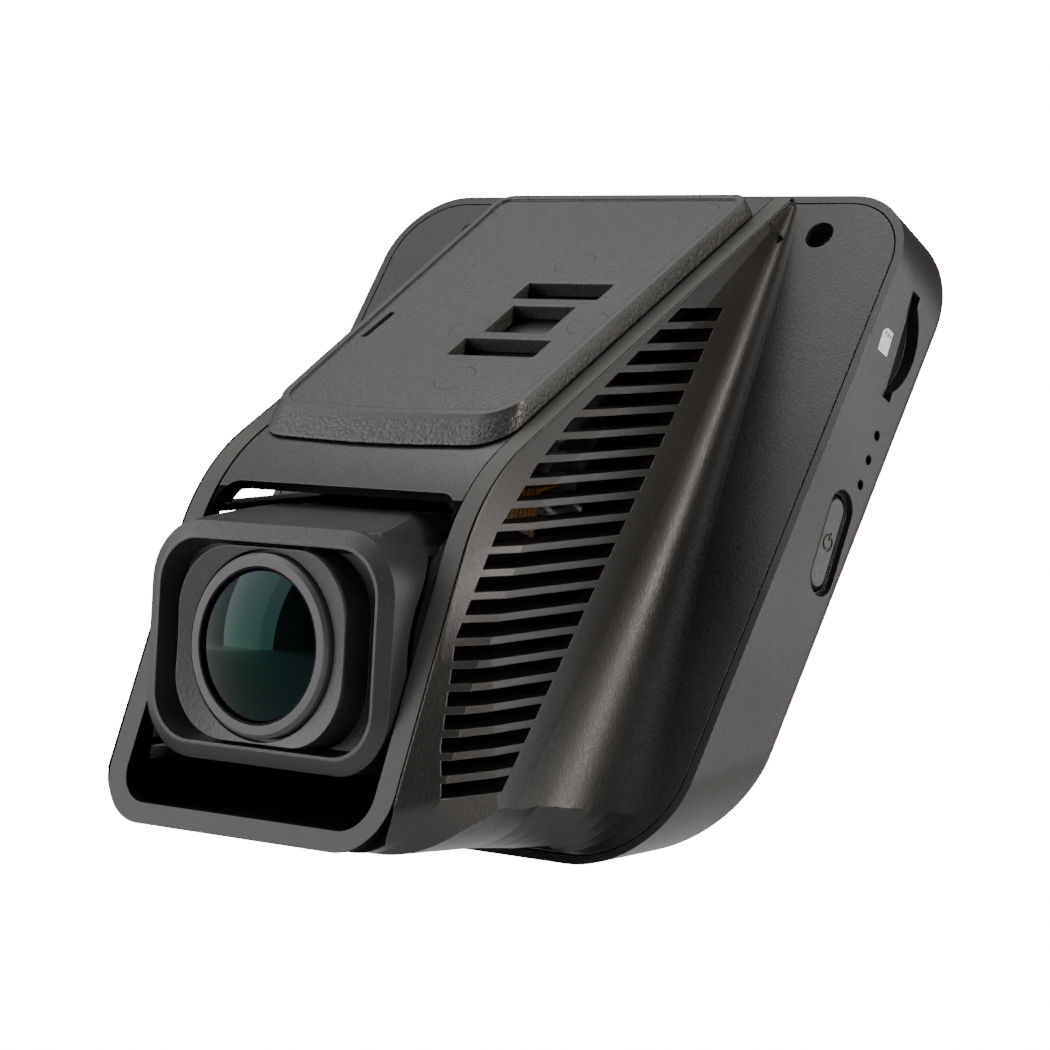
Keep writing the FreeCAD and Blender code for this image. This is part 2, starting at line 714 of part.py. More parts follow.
def lens_barrel():
    front, back = hood_front_y + 2.3, drum_y + 1.5
    return tube(barrel_r + 0.5, barrel_r - 1.0, back - front, V(0, front, lens_z), V(0, 1, 0))


def glass_cap(aperture, crown, front, thickness):
    """Lens with a domed front: aperture radius, crown height, apex position and thickness."""
    radius = (aperture ** 2 + crown ** 2) / (2 * crown)
    ball = Part.makeSphere(radius, V(0, front + radius, lens_z))
    return ball.common(lens_disc(aperture, front - 1, front + thickness))


def lens_seal():
    """Black retaining ring in front of the lens's edge."""
    front = hood_front_y - ring_proud + 0.03
    return tube(ring_inner - 0.03, seal_inner, seal_thick, V(0, front, lens_z), V(0, 1, 0))


def front_lens():
    apex = hood_front_y - ring_proud + seal_thick + 0.12 - lens_crown
    return glass_cap(ring_inner - 0.04, lens_crown, apex, 3.4)


def baffle_cone():
    """Stepped black funnel behind the front lens, down to the iris."""
    front = hood_front_y + 3.1
    steps = [tube(barrel_r - 1.02, barrel_r - 2.0 - i * 0.9, 1.0, V(0, front + i, lens_z), V(0, 1, 0))
             for i in range(4)]
    return fused(steps)


def inner_lens():
    return glass_cap(2.2, 0.9, hood_front_y + 5.4, 1.6)


def rear_lens():
    return glass_cap(barrel_r - 1.05, 1.2, hood_front_y + 8.4, 3.0)


def sensor_window():
    return box(-3.4, 3.4, drum_y + 1.7, drum_y + 2.1, lens_z - 2.9, lens_z + 2.9)


def image_sensor():
    return box(-4.0, 4.0, drum_y + 2.15, drum_y + 3.0, lens_z - 3.5, lens_z + 3.5)


def sensor_board():
    return box(-8.0, 8.0, drum_y + 3.05, drum_y + 3.85, lens_z - 6.0, lens_z + 6.0)


def tilt_pivot(side):
    """Side disc with its pin: the lens drum turns on the pin and rubs on the disc."""
    start = drum_half + move_gap
    disc = cylinder(pivot_disc_r, rim_half - rim_band - 0.03 - start,
                    V(side * start, drum_y, lens_z), V(side, 0, 0))
    hub = cylinder(hub_r, rim_half - cradle_wall - 0.03 - start,
                   V(side * start, drum_y, lens_z), V(side, 0, 0))
    pin = cylinder(pivot_r, 5.6, V(side * (drum_half - 2.2), drum_y, lens_z), V(side, 0, 0))
    return fused([disc, hub, pin])


def sensor_flex():
    """Amber ribbon from the drum's back opening, through the face plate, to the main board."""
    path = [(drum_y + 8.4, lens_z + 8.8), (drum_y + 9.4, lens_z + 15.6),
            (drum_y + 17.0, lens_z + 17.2), (drum_y + 27.6, lens_z + 18.0)]
    thick = 0.25
    x = ribbon_x[0]
    points = [V(x, y, z) for y, z in path] + [V(x, y + thick, z - thick) for y, z in reversed(path)]
    return prism(points, [0] * len(points), V(ribbon_x[1] - x, 0, 0))


# ---------------------------------------------------------------- inside the case
def main_board():
    board = block_xz(board_half, board_low, board_high, [9, 9, 3, 3], board_depth, board_depth + board_thick)
    cuts = [cylinder(0.8, 4, V(x, board_depth - 1, up), V(0, 1, 0)) for x, up in board_posts]
    cuts.append(box(board_notch[0], board_half + 1, 0, 10, board_notch[1], board_high + 1))
    return from_case(board.cut(cuts))


def board_screws():
    screws = []
    for x, up in board_posts:
        top = board_depth + board_thick
        head = cylinder(1.3, 0.8, V(x, top + 0.02, up), V(0, 1, 0))
        shank = cylinder(0.7, top - face_thick, V(x, face_thick + 0.12, up), V(0, 1, 0))
        screws.append(from_case(fused([head, shank])))
    return Part.makeCompound(screws)


def case_screws():
    screws = []
    for side in (-1, 1):
        start = V(side * screw_x, face_thick + 0.3, screw_up)
        head = cylinder(1.4, 0.85, start, V(0, 1, 0))
        shank = cylinder(0.8, 5.0, start, V(0, 1, 0))
        cross = [box(-0.14, 0.14, -1, 0.5, -0.8, 0.8), box(-0.8, 0.8, -1, 0.5, -0.14, 0.14)]
        for slot in cross:
            slot.translate(start)
        screws.append(from_case(fused([head, shank]).cut(cross)))
    return Part.makeCompound(screws)


def processor():
    return from_case(box(spreader_x - 6.5, spreader_x + 6.5, board_depth - 1.2, board_depth - 0.02, 1, 14))


def heat_spreader():
    """Folded aluminium plate on the processor, in the vented space behind the lens drum."""
    back = board_depth - 1.24
    left = spreader_x - spreader_half
    base = box(left, left + 2 * spreader_half, back - 0.8, back, spreader_low, spreader_high)
    fins = [box(left + i * 4.24, left + 0.8 + i * 4.24, back - 3.6, back - 0.7, spreader_low + 1,
                spreader_high - 1.5) for i in range(6)]
    return from_case(fused([base] + fins))


def shield_can():
    front = board_depth + board_thick + 0.03
    can = box(8, 22, front, front + 1.5, -8, 8)
    return from_case(can.cut(box(8.2, 21.8, front - 1, front + 1.3, -7.8, 7.8)))


def battery():
    body = block_xy(-9.5, 9.5, -2.5, 16.5, 1.5, 8.4, 12.4)
    return from_rail(body)


def speaker():
    front = board_depth + board_thick + 0.05
    return from_case(block_xz(7.5, -21.0, -11.0, [2] * 4, front, front + 3.0))


def microphone():
    depth, up = sound_holes[1]
    return from_case(cylinder(2.0, 1.4, V(case_width / 2 - case_wall - 1.6, depth - 0.6, up), V(1, 0, 0)))


def lcd_panel():
    half_h = lcd_h / 2
    return from_case(block_xz(lcd_w / 2, glass_up - half_h, glass_up + half_h, [0.8] * 4,
                              lcd_depth, lcd_depth + lcd_thick))


def screen_glass():
    half_h = glass_h / 2
    low = case_depth - glass_thick - 0.1
    return from_case(block_xz(glass_w / 2, glass_up - half_h, glass_up + half_h, [2.8] * 4,
                              low, low + glass_thick))


def rear_key(i):
    back_wall = case_depth - case_wall
    cap = block_xz(key_w / 2, key_up - key_h / 2, key_up + key_h / 2, [1.2] * 4,
                   back_wall - 0.5, case_depth + key_proud, key_x(i))
    crown = [e for e in cap.Edges if all(abs(v.Y - case_depth - key_proud) < 1e-6 for v in e.Vertexes)]
    cap = cap.makeFillet(0.3, crown)
    grow = key_flange
    flange = block_xz(key_w / 2 + grow, key_up - key_h / 2 - grow, key_up + key_h / 2 + grow, [1.2] * 4,
                      back_wall - 0.95, back_wall - 0.15, key_x(i))
    stem = box(key_x(i) - 1, key_x(i) + 1, switch_top + key_travel + 0.05, back_wall - 0.5,
               key_up - 1, key_up + 1)
    return from_case(fused([cap, flange, stem]))


def tact_switches():
    front = board_depth + board_thick + 0.02
    cans = []
    for i in range(key_count):
        can = box(key_x(i) - 2, key_x(i) + 2, front, switch_top - 0.5, key_up - 2, key_up + 2)
        knob = cylinder(0.9, 0.6, V(key_x(i), switch_top - 0.6, key_up), V(0, 1, 0))
        cans.append(from_case(fused([can, knob])))
    return Part.makeCompound(cans)


def power_switch():
    x1 = case_width / 2 - case_wall - power_stem - power_travel - 0.1
    body = box(x1 - 1.6, x1, power_depth_at - 1.4, power_depth_at + 1.2, power_up - 3, power_up + 3)
    return from_case(body)


def power_button():
    half = case_width / 2
    cap = side_slot(power_length, power_width, power_up, power_depth_at,
                    half - case_wall - 0.3, half - power_sink)
    rim = [e for e in cap.Edges if all(abs(v.X - half + power_sink) < 1e-6 for v in e.Vertexes)]
    cap = cap.makeChamfer(0.35, rim)
    flange = side_slot(power_length + 1.2, power_width + 1.2, power_up, power_depth_at,
                       half - case_wall - 0.8, half - case_wall - 0.1)
    stem = box(half - case_wall - power_stem, half - case_wall - 0.5, power_depth_at - 0.8,
               power_depth_at + 0.8, power_up - 0.8, power_up + 0.8)
    x = half - power_sink - 0.15
    ring = tube(0.85, 0.62, 1, V(x, power_depth_at, power_up), V(1, 0, 0))
    ring = ring.cut(box(x - 1, x + 2, power_depth_at - 0.3, power_depth_at + 0.3, power_up, power_up + 2))
    bar = box(x, x + 1, power_depth_at - 0.11, power_depth_at + 0.11, power_up + 0.25, power_up + 1.1)
    return from_case(fused([cap, flange, stem]).cut([ring, bar]))


def card_socket():
    half = case_width / 2
    x1 = half - case_wall - 0.15
    x0 = x1 - card_length
    outer = card_box(0.45, x0 - 0.9, x1)
    return from_case(outer.cut(card_box(0.2, x0 - 0.3, x1 + 1)))


def memory_card():
    x1 = case_width / 2 - card_recess
    card = card_box(0, x1 - card_length, x1)
    return from_case(card)


def usb_body(grow, x0):
    depth = board_depth + board_thick + 0.1
    return box(x0, -case_width / 2 + 6.5, depth - grow, depth + 3.0 + grow,
               usb_up - 3.9 - grow, usb_up + 3.9 + grow)


def usb_socket():
    x0 = -case_width / 2 + 0.35
    shell = usb_body(0, x0)
    depth = board_depth + board_thick + 0.1
    hole = box(x0 - 1, x0 + 5.2, depth + 0.35, depth + 2.65, usb_up - 3.5, usb_up + 3.5)
    tongue = box(x0 + 0.8, x0 + 5.4, depth + 1.2, depth + 1.8, usb_up - 2.6, usb_up + 2.6)
    return from_case(fused([shell.cut(hole), tongue]))


# ---------------------------------------------------------------- export
nodes = {
    "front_shell": front_shell,
    "rear_shell": rear_shell,
    "bezel_frame": bezel_frame,
    "tray_cover": tray_cover,
    "light_baffle": light_baffle,
    "windscreen_bracket": windscreen_bracket,
    "lens_housing": lens_housing,
    "lens_ring": lens_ring,
    "lens_barrel": lens_barrel,
    "front_lens": front_lens,
    "lens_seal": lens_seal,
    "baffle_cone": baffle_cone,
    "inner_lens": inner_lens,
    "rear_lens": rear_lens,
    "sensor_window": sensor_window,
    "image_sensor": image_sensor,
    "sensor_board": sensor_board,
    "tilt_pivot_right": lambda: tilt_pivot(1),
    "tilt_pivot_left": lambda: tilt_pivot(-1),
    "sensor_flex": sensor_flex,
    "main_board": main_board,
    "board_screws": board_screws,
    "case_screws": case_screws,
    "processor": processor,
    "heat_spreader": heat_spreader,
    "shield_can": shield_can,
    "battery": battery,
    "speaker": speaker,
    "microphone": microphone,
    "lcd_panel": lcd_panel,
    "screen_glass": screen_glass,
    "tact_switches": tact_switches,
    "power_switch": power_switch,
    "power_button": power_button,
    "card_socket": card_socket,
    "memory_card": memory_card,
    "usb_socket": usb_socket,
    "card_icon": lambda: from_case(icon_plate(0)),
}
for number in range(key_count):
    nodes["rear_key_%d" % (number + 1)] = lambda i=number: rear_key(i)

seat = rail_point(0, (plate_front + plate_back) / 2, rail_height + plate_lift + plate_thick - seat_sink)
os.makedirs("parts", exist_ok=True)
for name, make in nodes.items():
    shape = make()
    shape.translate(-seat)
    print("%-20s valid %s solids %d volume %.1f" % (name, shape.isValid(), len(shape.Solids), shape.Volume))
    shape.exportStep("parts/%s.step" % name)
print("origin in the body frame", seat)
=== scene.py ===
"""Looks for the windscreen dash camera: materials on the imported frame, stage, light and camera."""
import json
import math

import bmesh
import bpy
from mathutils import Euler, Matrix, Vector


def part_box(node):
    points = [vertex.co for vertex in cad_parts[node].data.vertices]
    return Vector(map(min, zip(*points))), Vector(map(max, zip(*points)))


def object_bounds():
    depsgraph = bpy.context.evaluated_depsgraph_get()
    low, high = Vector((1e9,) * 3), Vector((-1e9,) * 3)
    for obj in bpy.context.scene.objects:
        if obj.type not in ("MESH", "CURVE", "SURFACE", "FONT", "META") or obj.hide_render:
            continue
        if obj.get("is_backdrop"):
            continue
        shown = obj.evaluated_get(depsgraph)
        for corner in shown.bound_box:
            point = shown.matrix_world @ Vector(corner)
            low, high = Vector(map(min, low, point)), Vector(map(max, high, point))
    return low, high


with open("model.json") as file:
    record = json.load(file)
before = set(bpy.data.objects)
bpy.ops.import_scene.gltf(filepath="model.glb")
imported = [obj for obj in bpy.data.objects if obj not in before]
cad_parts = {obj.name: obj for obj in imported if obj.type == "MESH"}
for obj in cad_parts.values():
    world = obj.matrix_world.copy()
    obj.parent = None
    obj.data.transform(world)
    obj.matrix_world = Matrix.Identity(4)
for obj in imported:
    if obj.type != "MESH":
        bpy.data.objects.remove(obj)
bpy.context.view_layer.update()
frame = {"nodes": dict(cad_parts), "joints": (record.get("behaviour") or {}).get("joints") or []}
NODES = frame["nodes"]
MM = 0.001
RAKE = math.radians(32.5)
PLATE_UP = (0.0, -math.sin(RAKE), math.cos(RAKE))
# Bounds of the cradle's inside, where shade is painted, in millimetres: half width, underside of the tray,
# height of the floor.
CRADLE_HALF_W, TRAY_UNDERSIDE, CRADLE_FLOOR = 15.9, -3.25, -49.2
BURNT_WHITE = 16.0      # strength that the camera sees as plain white
CAMERA_FROM_PIVOT = (0.21043, -0.24568, 0.01882)
CAMERA_ANGLES = (88.80914, -3.14658, 38.15046)
PIN_MARK_R, PIN_MARK_LINE = 2.1, 0.09
PIN_MARKS = ((10.7, 20.2), (-14.6, 21.8), (2.2, 9.4), (-1.6, -4.2), (12.0, -2.7), (3.6, -13.9))


# ---------------------------------------------------------------- node helpers
class Tree:
    """Short-hand for building one material's node tree."""

    def __init__(self, name):
        self.material = bpy.data.materials.new(name)
        self.material.use_nodes = True
        self.nodes = self.material.node_tree.nodes
        self.links = self.material.node_tree.links
        self.shader = self.nodes["Principled BSDF"]
        self.place = self.add("ShaderNodeTexCoord").outputs["Object"]

    def add(self, kind, **values):
        node = self.nodes.new(kind)
        for key, value in values.items():
            setattr(node, key, value)
        return node

    def feed(self, socket, value):
        if isinstance(value, bpy.types.NodeSocket):
            self.links.new(value, socket)
        else:
            socket.default_value = value

    def noise(self, per_mm, detail=4.0, roughness=0.55, stretch=None):
        """Noise with so many features per millimetre."""
        node = self.add("ShaderNodeTexNoise")
        node.inputs["Scale"].default_value = per_mm / MM
        node.inputs["Detail"].default_value = detail
        node.inputs["Roughness"].default_value = roughness
        self.links.new(self.stretched(stretch), node.inputs["Vector"])
        return node.outputs["Fac"]

    def cells(self, per_mm):
        """Distance to the nearest edge of irregular cells."""
        node = self.add("ShaderNodeTexVoronoi", feature="DISTANCE_TO_EDGE")
        node.inputs["Scale"].default_value = per_mm / MM
        self.links.new(self.place, node.inputs["Vector"])
        return node.outputs["Distance"]

    def stretched(self, stretch):
        """The object's coordinates, scaled along each axis if asked."""
        if stretch is None:
            return self.place
        node = self.add("ShaderNodeMapping")
        node.inputs["Scale"].default_value = stretch
        self.links.new(self.place, node.inputs["Vector"])
        return node.outputs["Vector"]

    def math(self, operation, *values):
        node = self.add("ShaderNodeMath", operation=operation)
        for socket, value in zip(node.inputs, values):
            self.feed(socket, value)
        return node.outputs[0]

    def spread(self, value, low, high, from_low=0.3, from_high=0.7):
        """Map a factor to a range, clamped."""
        node = self.add("ShaderNodeMapRange")
        for name, item in (("Value", value), ("From Min", from_low), ("From Max", from_high),
                           ("To Min", low), ("To Max", high)):
            self.feed(node.inputs[name], item)
        return node.outputs["Result"]

    def mixed(self, factor, a, b):
        node = self.add("ShaderNodeMix", data_type="RGBA")
        self.feed(node.inputs["Factor"], factor)
        self.feed(node.inputs[6], a)
        self.feed(node.inputs[7], b)
        return node.outputs[2]

    def bumped(self, height, distance_mm, strength, normal=None):
        node = self.add("ShaderNodeBump")
        self.feed(node.inputs["Height"], height)
        node.inputs["Strength"].default_value = strength
        node.inputs["Distance"].default_value = distance_mm * MM
        if normal is not None:
            self.links.new(normal, node.inputs["Normal"])
        return node.outputs["Normal"]

    def rounded(self, radius_mm):
        """Normal of the surface with its sharp edges softened by a small radius."""
        node = self.add("ShaderNodeBevel", samples=6)
        node.inputs["Radius"].default_value = radius_mm * MM
        return node.outputs["Normal"]

    def edges(self, soft_normal):
        """1 on edges and 0 on flats, from how far the softened normal leans."""
        normal = self.add("ShaderNodeNewGeometry").outputs["Normal"]
        return self.spread(self.vectors("DOT_PRODUCT", soft_normal, normal), 1.0, 0.0, 0.80, 0.995)

    def vectors(self, operation, a, b):
        """Number from two vectors: a dot product or a distance."""
        node = self.add("ShaderNodeVectorMath", operation=operation)
        self.feed(node.inputs[0], a)
        self.feed(node.inputs[1], b)
        return node.outputs["Value"]

    def along(self, direction):
        """Distance along a direction, in millimetres from the frame's origin."""
        return self.math("MULTIPLY", self.vectors("DOT_PRODUCT", self.place, direction), 1 / MM)

    def facing(self, direction):
        """Cosine between the surface's normal and a direction."""
        return self.vectors("DOT_PRODUCT", self.add("ShaderNodeNewGeometry").outputs["Normal"], direction)

    def cradle_shade_mask(self):
        """1 on faces inside the cradle, between its walls and under the tray cover: the mask for painted
        shade.
        """
        within = self.math("LESS_THAN", self.math("ABSOLUTE", self.along((1, 0, 0))), CRADLE_HALF_W)
        under = self.math("LESS_THAN", self.along(PLATE_UP), TRAY_UNDERSIDE)
        above = self.math("GREATER_THAN", self.along((0, 0, 1)), CRADLE_FLOOR)
        return self.math("MULTIPLY", self.math("MULTIPLY", within, under), above)

    def circles(self, centres, radius, width):
        """1 on thin rings round points of the bracket plate."""
        total = None
        for x, along in centres:
            centre = (x * MM, along * MM * PLATE_UP[2], -along * MM * PLATE_UP[1])
            far = self.vectors("DISTANCE", self.place, centre)
            off = self.math("ABSOLUTE", self.math("SUBTRACT", far, radius * MM))
            ring = self.spread(off, 1.0, 0.0, 0.0, width * MM)
            total = ring if total is None else self.math("MAXIMUM", total, ring)
        return total


def grey(r, g=None, b=None):
    """Opaque colour, neutral unless green and blue are given."""
    return (r, r if g is None else g, r if b is None else b, 1.0)


def times(colour, factor):
    """The same colour, lighter or darker."""
    return grey(*(c * factor for c in colour[:3]))


def moulded(name, colour, worn, rough=(0.36, 0.5), grain=3.2, grain_mm=0.012, edge_mm=0.12, specular=0.5,
            leather=False, dark=None):
    """Injection-moulded plastic: fine spark-erosion grain, uneven gloss, polished and paler edges; where
    asked, painted shade on faces inside the cradle or turned backwards.
    """
    t = Tree(name)
    soft = t.rounded(edge_mm)
    edge = t.edges(soft)
    fine = t.noise(grain, 3.0, 0.6)
    broad = t.noise(0.05, 3.0, 0.5)
    cloudy = t.noise(0.6, 2.0, 0.5)
    height = t.spread(fine, 0.0, 1.0, 0.35, 0.65)
    if leather:
        skirt = t.spread(t.along(PLATE_UP), 1.0, 0.0, -0.35, 0.15)
        cells = t.math("MULTIPLY", t.spread(t.cells(1.5), 0.0, 1.0, 0.0, 0.22), skirt)
        height = t.math("MULTIPLY", height, t.spread(skirt, 0.25, 1.0, 0.0, 1.0))
        marks = t.circles(PIN_MARKS, PIN_MARK_R, PIN_MARK_LINE)
        height = t.math("SUBTRACT", t.math("ADD", height, cells), t.math("MULTIPLY", marks, 0.9))
    tone = t.mixed(t.spread(broad, 0.0, 1.0), colour, times(colour, 1.22))
    tone = t.mixed(t.math("MULTIPLY", edge, t.spread(cloudy, 0.35, 1.0)), tone, worn)
    gloss = t.math("ADD", t.spread(broad, rough[0], rough[1], 0.35, 0.65), t.spread(fine, -0.05, 0.05))
    gloss = t.math("SUBTRACT", gloss, t.math("MULTIPLY", edge, 0.10))
    # Painted shade: the chosen faces are painted near-black, rough and almost without reflection, as if in
    # shadow.
    if dark:
        if dark == "cradle":
            painted_shade = t.cradle_shade_mask()
        else:
            painted_shade = t.spread(t.facing((0, 1, 0)), 0.0, 1.0, -0.36, -0.26)
        tone = t.mixed(painted_shade, tone, grey(0.0015))
        gloss = t.math("MAXIMUM", gloss, t.math("MULTIPLY", painted_shade, 0.85))
        t.feed(t.shader.inputs["Specular IOR Level"], t.spread(painted_shade, specular, 0.06, 0.0, 1.0))
    else:
        t.shader.inputs["Specular IOR Level"].default_value = specular
    t.feed(t.shader.inputs["Base Color"], tone)
    t.feed(t.shader.inputs["Roughness"], gloss)
    t.feed(t.shader.inputs["Normal"], t.bumped(height, grain_mm, 0.9, soft))
    return t.material


def metal(name, colour, rough=(0.25, 0.42), brush=(1.0, 1.0, 1.0), edge_mm=0.06):
    """Bare metal with fine scratches and a dulled film."""
    t = Tree(name)
    soft = t.rounded(edge_mm)
    lines = t.noise(2.4, 4.0, 0.6, brush)
    broad = t.noise(0.12, 3.0, 0.5)
    t.feed(t.shader.inputs["Base Color"],
           t.mixed(t.spread(lines, 0.0, 1.0), colour, times(colour, 0.86)))
    t.feed(t.shader.inputs["Roughness"],
           t.math("ADD", t.spread(lines, rough[0], rough[1]), t.spread(broad, -0.04, 0.05)))
    t.feed(t.shader.inputs["Normal"], t.bumped(lines, 0.006, 0.6, soft))
    t.shader.inputs["Metallic"].default_value = 1.0
    return t.material


def coated_front():
    """Outer lens, opaque, with a green coating; its near-black colour is painted shade for the dark inside
    seen through the glass, with a painted view of the iris ring and pupil.
    """
    t = Tree("lens_coating_and_painted_view")
    film = t.noise(0.25, 3.0, 0.5)
    low_corner, high_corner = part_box("front_lens")
    across = t.math("MULTIPLY", t.vectors("DISTANCE", t.place, low_corner.lerp(high_corner, 0.5)), 1 / MM)
    # Painted view through the glass: a faint iris ring and a pupil, lying deep inside the lens.
    rings = t.spread(t.math("ABSOLUTE", t.math("SUBTRACT", across, 1.55)), 1.0, 0.0, 0.0, 0.22)
    pupil = t.spread(across, 1.0, 0.0, 0.9, 1.15)
    # Painted shade: near-black, darker towards the rim, for the dark inside seen through the glass.
    tone = t.mixed(t.spread(across, 0.0, 1.0, 1.5, 6.5), grey(0.002, 0.006, 0.0055),
                   grey(0.0008, 0.0025, 0.0025))
    tone = t.mixed(t.math("MULTIPLY", rings, 0.7), tone, grey(0.030, 0.022, 0.019))
    tone = t.mixed(t.math("MULTIPLY", pupil, 0.5), tone, grey(0.040, 0.026, 0.024))
    t.feed(t.shader.inputs["Base Color"], tone)
    t.feed(t.shader.inputs["Roughness"], t.spread(film, 0.02, 0.05))
    t.feed(t.shader.inputs["Specular Tint"],
           t.mixed(t.spread(across, 0.0, 1.0, 2.0, 7.0), grey(0.16, 0.80, 0.60), grey(0.40, 0.85, 0.85)))
    t.shader.inputs["IOR"].default_value = 1.27
    return t.material


def coated_glass(name, tint, reflect, ior):
    """Coated lens glass: clear, with a coloured reflection and dust-fine roughness changes."""
    t = Tree(name)
    film = t.noise(0.25, 3.0, 0.5)
    t.feed(t.shader.inputs["Base Color"],
           t.mixed(t.spread(film, 0.0, 1.0), tint, times(tint, 0.9)))
    t.feed(t.shader.inputs["Roughness"], t.spread(film, 0.004, 0.02))
    t.feed(t.shader.inputs["Specular Tint"], reflect)
    t.shader.inputs["Transmission Weight"].default_value = 1.0
    t.shader.inputs["IOR"].default_value = ior
    return t.material


def circuit_board():
    """Green solder resist over copper tracks."""
    t = Tree("solder_resist")
    tracks = t.spread(t.cells(0.55), 0.0, 1.0, 0.02, 0.08)
    weave = t.noise(4.0, 2.0, 0.5)
    t.feed(t.shader.inputs["Base Color"],
           t.mixed(tracks, grey(0.05, 0.22, 0.10), grey(0.015, 0.09, 0.04)))
    t.feed(t.shader.inputs["Roughness"], t.spread(weave, 0.28, 0.4))
    t.feed(t.shader.inputs["Normal"], t.bumped(tracks, 0.02, 0.6))
    return t.material


def sensor_film():
    """Amber polyimide ribbon with fine copper lines."""
    t = Tree("amber_film")
    lines = t.add("ShaderNodeTexWave", wave_type="BANDS", bands_direction="X")
    lines.inputs["Scale"].default_value = 600.0
    t.links.new(t.place, lines.inputs["Vector"])
    between = t.spread(lines.outputs["Fac"], 0.0, 1.0)
    t.feed(t.shader.inputs["Base Color"], t.mixed(between, grey(0.42, 0.15, 0.015), grey(0.62, 0.28, 0.05)))
    t.feed(t.shader.inputs["Roughness"], t.spread(t.noise(0.5), 0.2, 0.4))
    return t.material


def printed_ink():
    """White pad-printed ink with a faint grain."""
    t = Tree("ink_white")
    speck = t.noise(6.0, 3.0, 0.6)
    t.feed(t.shader.inputs["Base Color"], t.mixed(t.spread(speck, 0.0, 1.0), grey(0.62), grey(0.82)))
    t.feed(t.shader.inputs["Roughness"], t.spread(speck, 0.45, 0.6))
    t.feed(t.shader.inputs["Normal"], t.bumped(speck, 0.004, 0.5))
    return t.material


CASE_BLACK, CASE_WORN = grey(0.0135, 0.0128, 0.0118), grey(0.10, 0.098, 0.094)
CASE = moulded("case_plastic", CASE_BLACK, CASE_WORN, (0.32, 0.42), 3.6, 0.008)
# Front shell and tray cover: black plastic, with painted shade on the faces inside the cradle.
SHELL = moulded("shell_plastic_painted_shade_inside", CASE_BLACK, CASE_WORN, (0.32, 0.42), 3.6, 0.008, dark="cradle")
BRACKET = moulded("bracket_plastic", grey(0.027, 0.0265, 0.0253), grey(0.13, 0.128, 0.125), (0.36, 0.48), 2.4,
                  0.030, edge_mm=0.2, leather=True)
# Rim: the grey paint is its own colour; faces turned backwards, its inner walls, get painted shade.
RIM = moulded("rim_paint_and_painted_shade", grey(0.070, 0.069, 0.066), grey(0.16, 0.155, 0.15), (0.42, 0.52), 4.0, 0.008,
              specular=0.18, dark="behind")
RING = moulded("ring_paint", grey(0.080, 0.080, 0.077), grey(0.20), (0.36, 0.44), 4.0, 0.004, specular=0.3)
POD = moulded("pod_plastic", grey(0.021, 0.0208, 0.0202), grey(0.11, 0.11, 0.108), (0.38, 0.48), 3.2, 0.014)
INNER = moulded("inner_plastic", grey(0.003), grey(0.008), (0.6, 0.75), 3.0, 0.01, specular=0.12)
KEY = moulded("key_plastic", grey(0.018, 0.0175, 0.0165), grey(0.12, 0.118, 0.112), (0.26, 0.36), 3.4, 0.006)
CHIP = moulded("chip_epoxy", grey(0.015), grey(0.05), (0.5, 0.6), 3.0, 0.01)
GLOSS = moulded("screen_gloss", grey(0.005, 0.005, 0.006), grey(0.05), (0.04, 0.08), 0.8, 0.0005)
STEEL = metal("steel", grey(0.55, 0.55, 0.56))
ALUMINIUM = metal("aluminium", grey(0.72, 0.72, 0.73), (0.3, 0.45), (0.15, 1.0, 1.0))
FOIL = metal("cell_foil", grey(0.6, 0.6, 0.62), (0.35, 0.5))
GLASS = coated_front()
DEEP_GLASS = coated_glass("deep_glass", grey(0.55, 0.60, 0.60), (0.95, 0.72, 0.66, 1.0), 1.50)
BOARD = circuit_board()
FILM = sensor_film()
INK = printed_ink()

DRESS = {
    CASE: ["rear_shell"],
    SHELL: ["front_shell", "tray_cover"],
    BRACKET: ["windscreen_bracket"],
    RIM: ["bezel_frame"],
    RING: ["lens_ring"],
    POD: ["lens_housing"],
    # light_baffle: a near-black sheet under the tray cover, painted shade for the dark inside of the cradle.
    INNER: ["lens_barrel", "baffle_cone", "lens_seal", "speaker", "light_baffle", "tilt_pivot_right",
            "tilt_pivot_left"],
    KEY: ["power_button", "rear_key_1", "rear_key_2", "rear_key_3", "rear_key_4", "memory_card"],
    CHIP: ["image_sensor", "processor", "power_switch", "lcd_panel"],
    GLOSS: ["screen_glass"],
    STEEL: ["board_screws", "case_screws", "shield_can", "microphone", "tact_switches", "card_socket",
            "usb_socket"],
    ALUMINIUM: ["heat_spreader"],
    FOIL: ["battery"],
    GLASS: ["front_lens"],
    DEEP_GLASS: ["inner_lens", "rear_lens", "sensor_window"],
    BOARD: ["sensor_board", "main_board"],
    FILM: ["sensor_flex"],
    INK: ["card_icon"],
}
for material, names in DRESS.items():
    for name in names:
        for holder in NODES[name].material_slots:
            holder.material = material


# ---------------------------------------------------------------- stage, light, camera
low, high = (Vector(c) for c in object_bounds())
middle = (low + high) / 2


def studio_world():
    """White to the eye, soft grey as a light."""
    world = bpy.data.worlds.new("studio")
    bpy.context.scene.world = world
    world.use_nodes = True
    nodes, links = world.node_tree.nodes, world.node_tree.links
    seen, lit = nodes["Background"], nodes.new("ShaderNodeBackground")
    seen.inputs["Color"].default_value = grey(1.0)
    seen.inputs["Strength"].default_value = BURNT_WHITE
    lit.inputs["Color"].default_value = grey(1.0)
    lit.inputs["Strength"].default_value = 0.08
    mix = nodes.new("ShaderNodeMixShader")
    path = nodes.new("ShaderNodeLightPath")
    links.new(path.outputs["Is Camera Ray"], mix.inputs["Fac"])
    links.new(lit.outputs["Background"], mix.inputs[1])
    links.new(seen.outputs["Background"], mix.inputs[2])
    links.new(mix.outputs["Shader"], nodes["World Output"].inputs["Surface"])


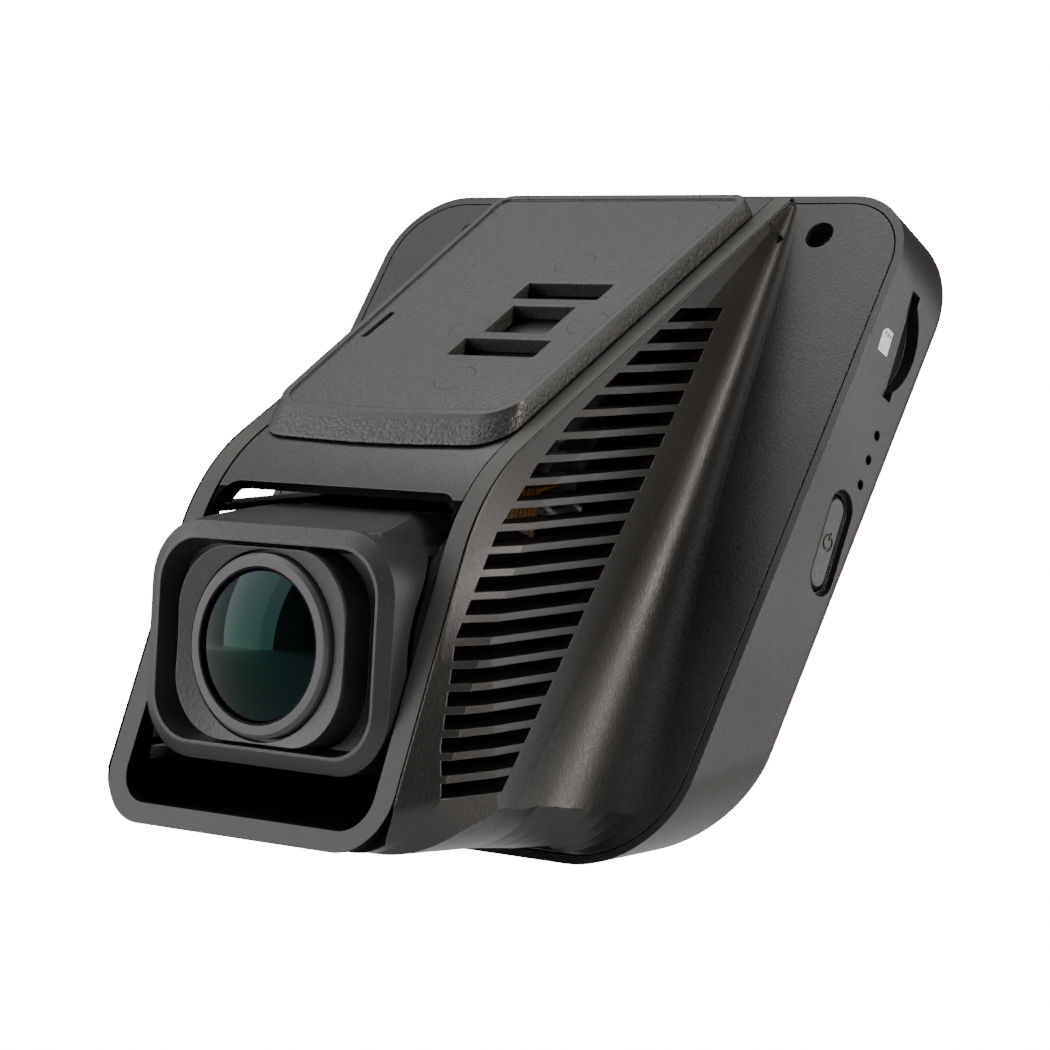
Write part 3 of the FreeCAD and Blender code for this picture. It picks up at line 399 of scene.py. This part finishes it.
def floor():
    """Pale matt floor well below the camera, burnt out to white like the backdrop where it is looked at."""
    t = Tree("floor_white")
    speck = t.noise(0.02, 2.0, 0.5)
    t.feed(t.shader.inputs["Base Color"], t.mixed(speck, grey(0.80), grey(0.84)))
    t.feed(t.shader.inputs["Roughness"], t.spread(speck, 0.7, 0.8))
    glow = t.add("ShaderNodeEmission")
    glow.inputs["Strength"].default_value = BURNT_WHITE
    mix = t.add("ShaderNodeMixShader")
    t.feed(mix.inputs["Fac"], t.add("ShaderNodeLightPath").outputs["Is Camera Ray"])
    t.feed(mix.inputs[1], t.shader.outputs["BSDF"])
    t.feed(mix.inputs[2], glow.outputs["Emission"])
    t.feed(t.nodes["Material Output"].inputs["Surface"], mix.outputs["Shader"])
    bm = bmesh.new()
    bmesh.ops.create_grid(bm, x_segments=1, y_segments=1, size=3.0)
    mesh = bpy.data.meshes.new("floor")
    bm.to_mesh(mesh)
    bm.free()
    mesh.materials.append(t.material)
    obj = bpy.data.objects.new("floor", mesh)
    obj.location = (0, 0, low.z - 0.06)
    bpy.context.scene.collection.objects.link(obj)
    obj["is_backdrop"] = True


def softbox(name, direction, distance, size, power, colour=(1.0, 1.0, 1.0)):
    """Rectangular area light facing the middle of the object."""
    light = bpy.data.lights.new(name, "AREA")
    light.shape = "RECTANGLE"
    light.size, light.size_y = size
    light.energy = power
    light.color = colour
    obj = bpy.data.objects.new(name, light)
    toward = Vector(direction).normalized()
    obj.location = middle + toward * distance
    obj.rotation_euler = toward.to_track_quat("Z", "Y").to_euler()
    bpy.context.scene.collection.objects.link(obj)


studio_world()
floor()
softbox("overhead", (-0.30, -0.02, 0.95), 0.9, (0.75, 0.75), 6.0, (1.0, 0.985, 0.96))
softbox("left_wall", (-0.88, -0.46, 0.05), 0.75, (0.85, 1.3), 4.4)
softbox("front_left", (-0.68, -0.72, 0.20), 0.95, (0.70, 0.80), 6.0)
softbox("right_back", (0.70, 0.72, 0.08), 0.9, (0.5, 0.9), 4.2, (1.0, 0.99, 0.97))
softbox("right_strip", (0.90, 0.03, 0.42), 0.8, (0.06, 0.55), 4.5, (1.0, 0.93, 0.86))

pivot = Vector(next(joint for joint in frame["joints"] if joint["name"] == "lens_tilt")["pos_m"])
camera = bpy.data.objects.new("camera", bpy.data.cameras.new("camera"))
camera.data.lens = 116.81
camera.data.sensor_width = 36.0
camera.location = pivot + Vector(CAMERA_FROM_PIVOT)
camera.rotation_euler = Euler([math.radians(a) for a in CAMERA_ANGLES])
bpy.context.scene.collection.objects.link(camera)
bpy.context.scene.camera = camera
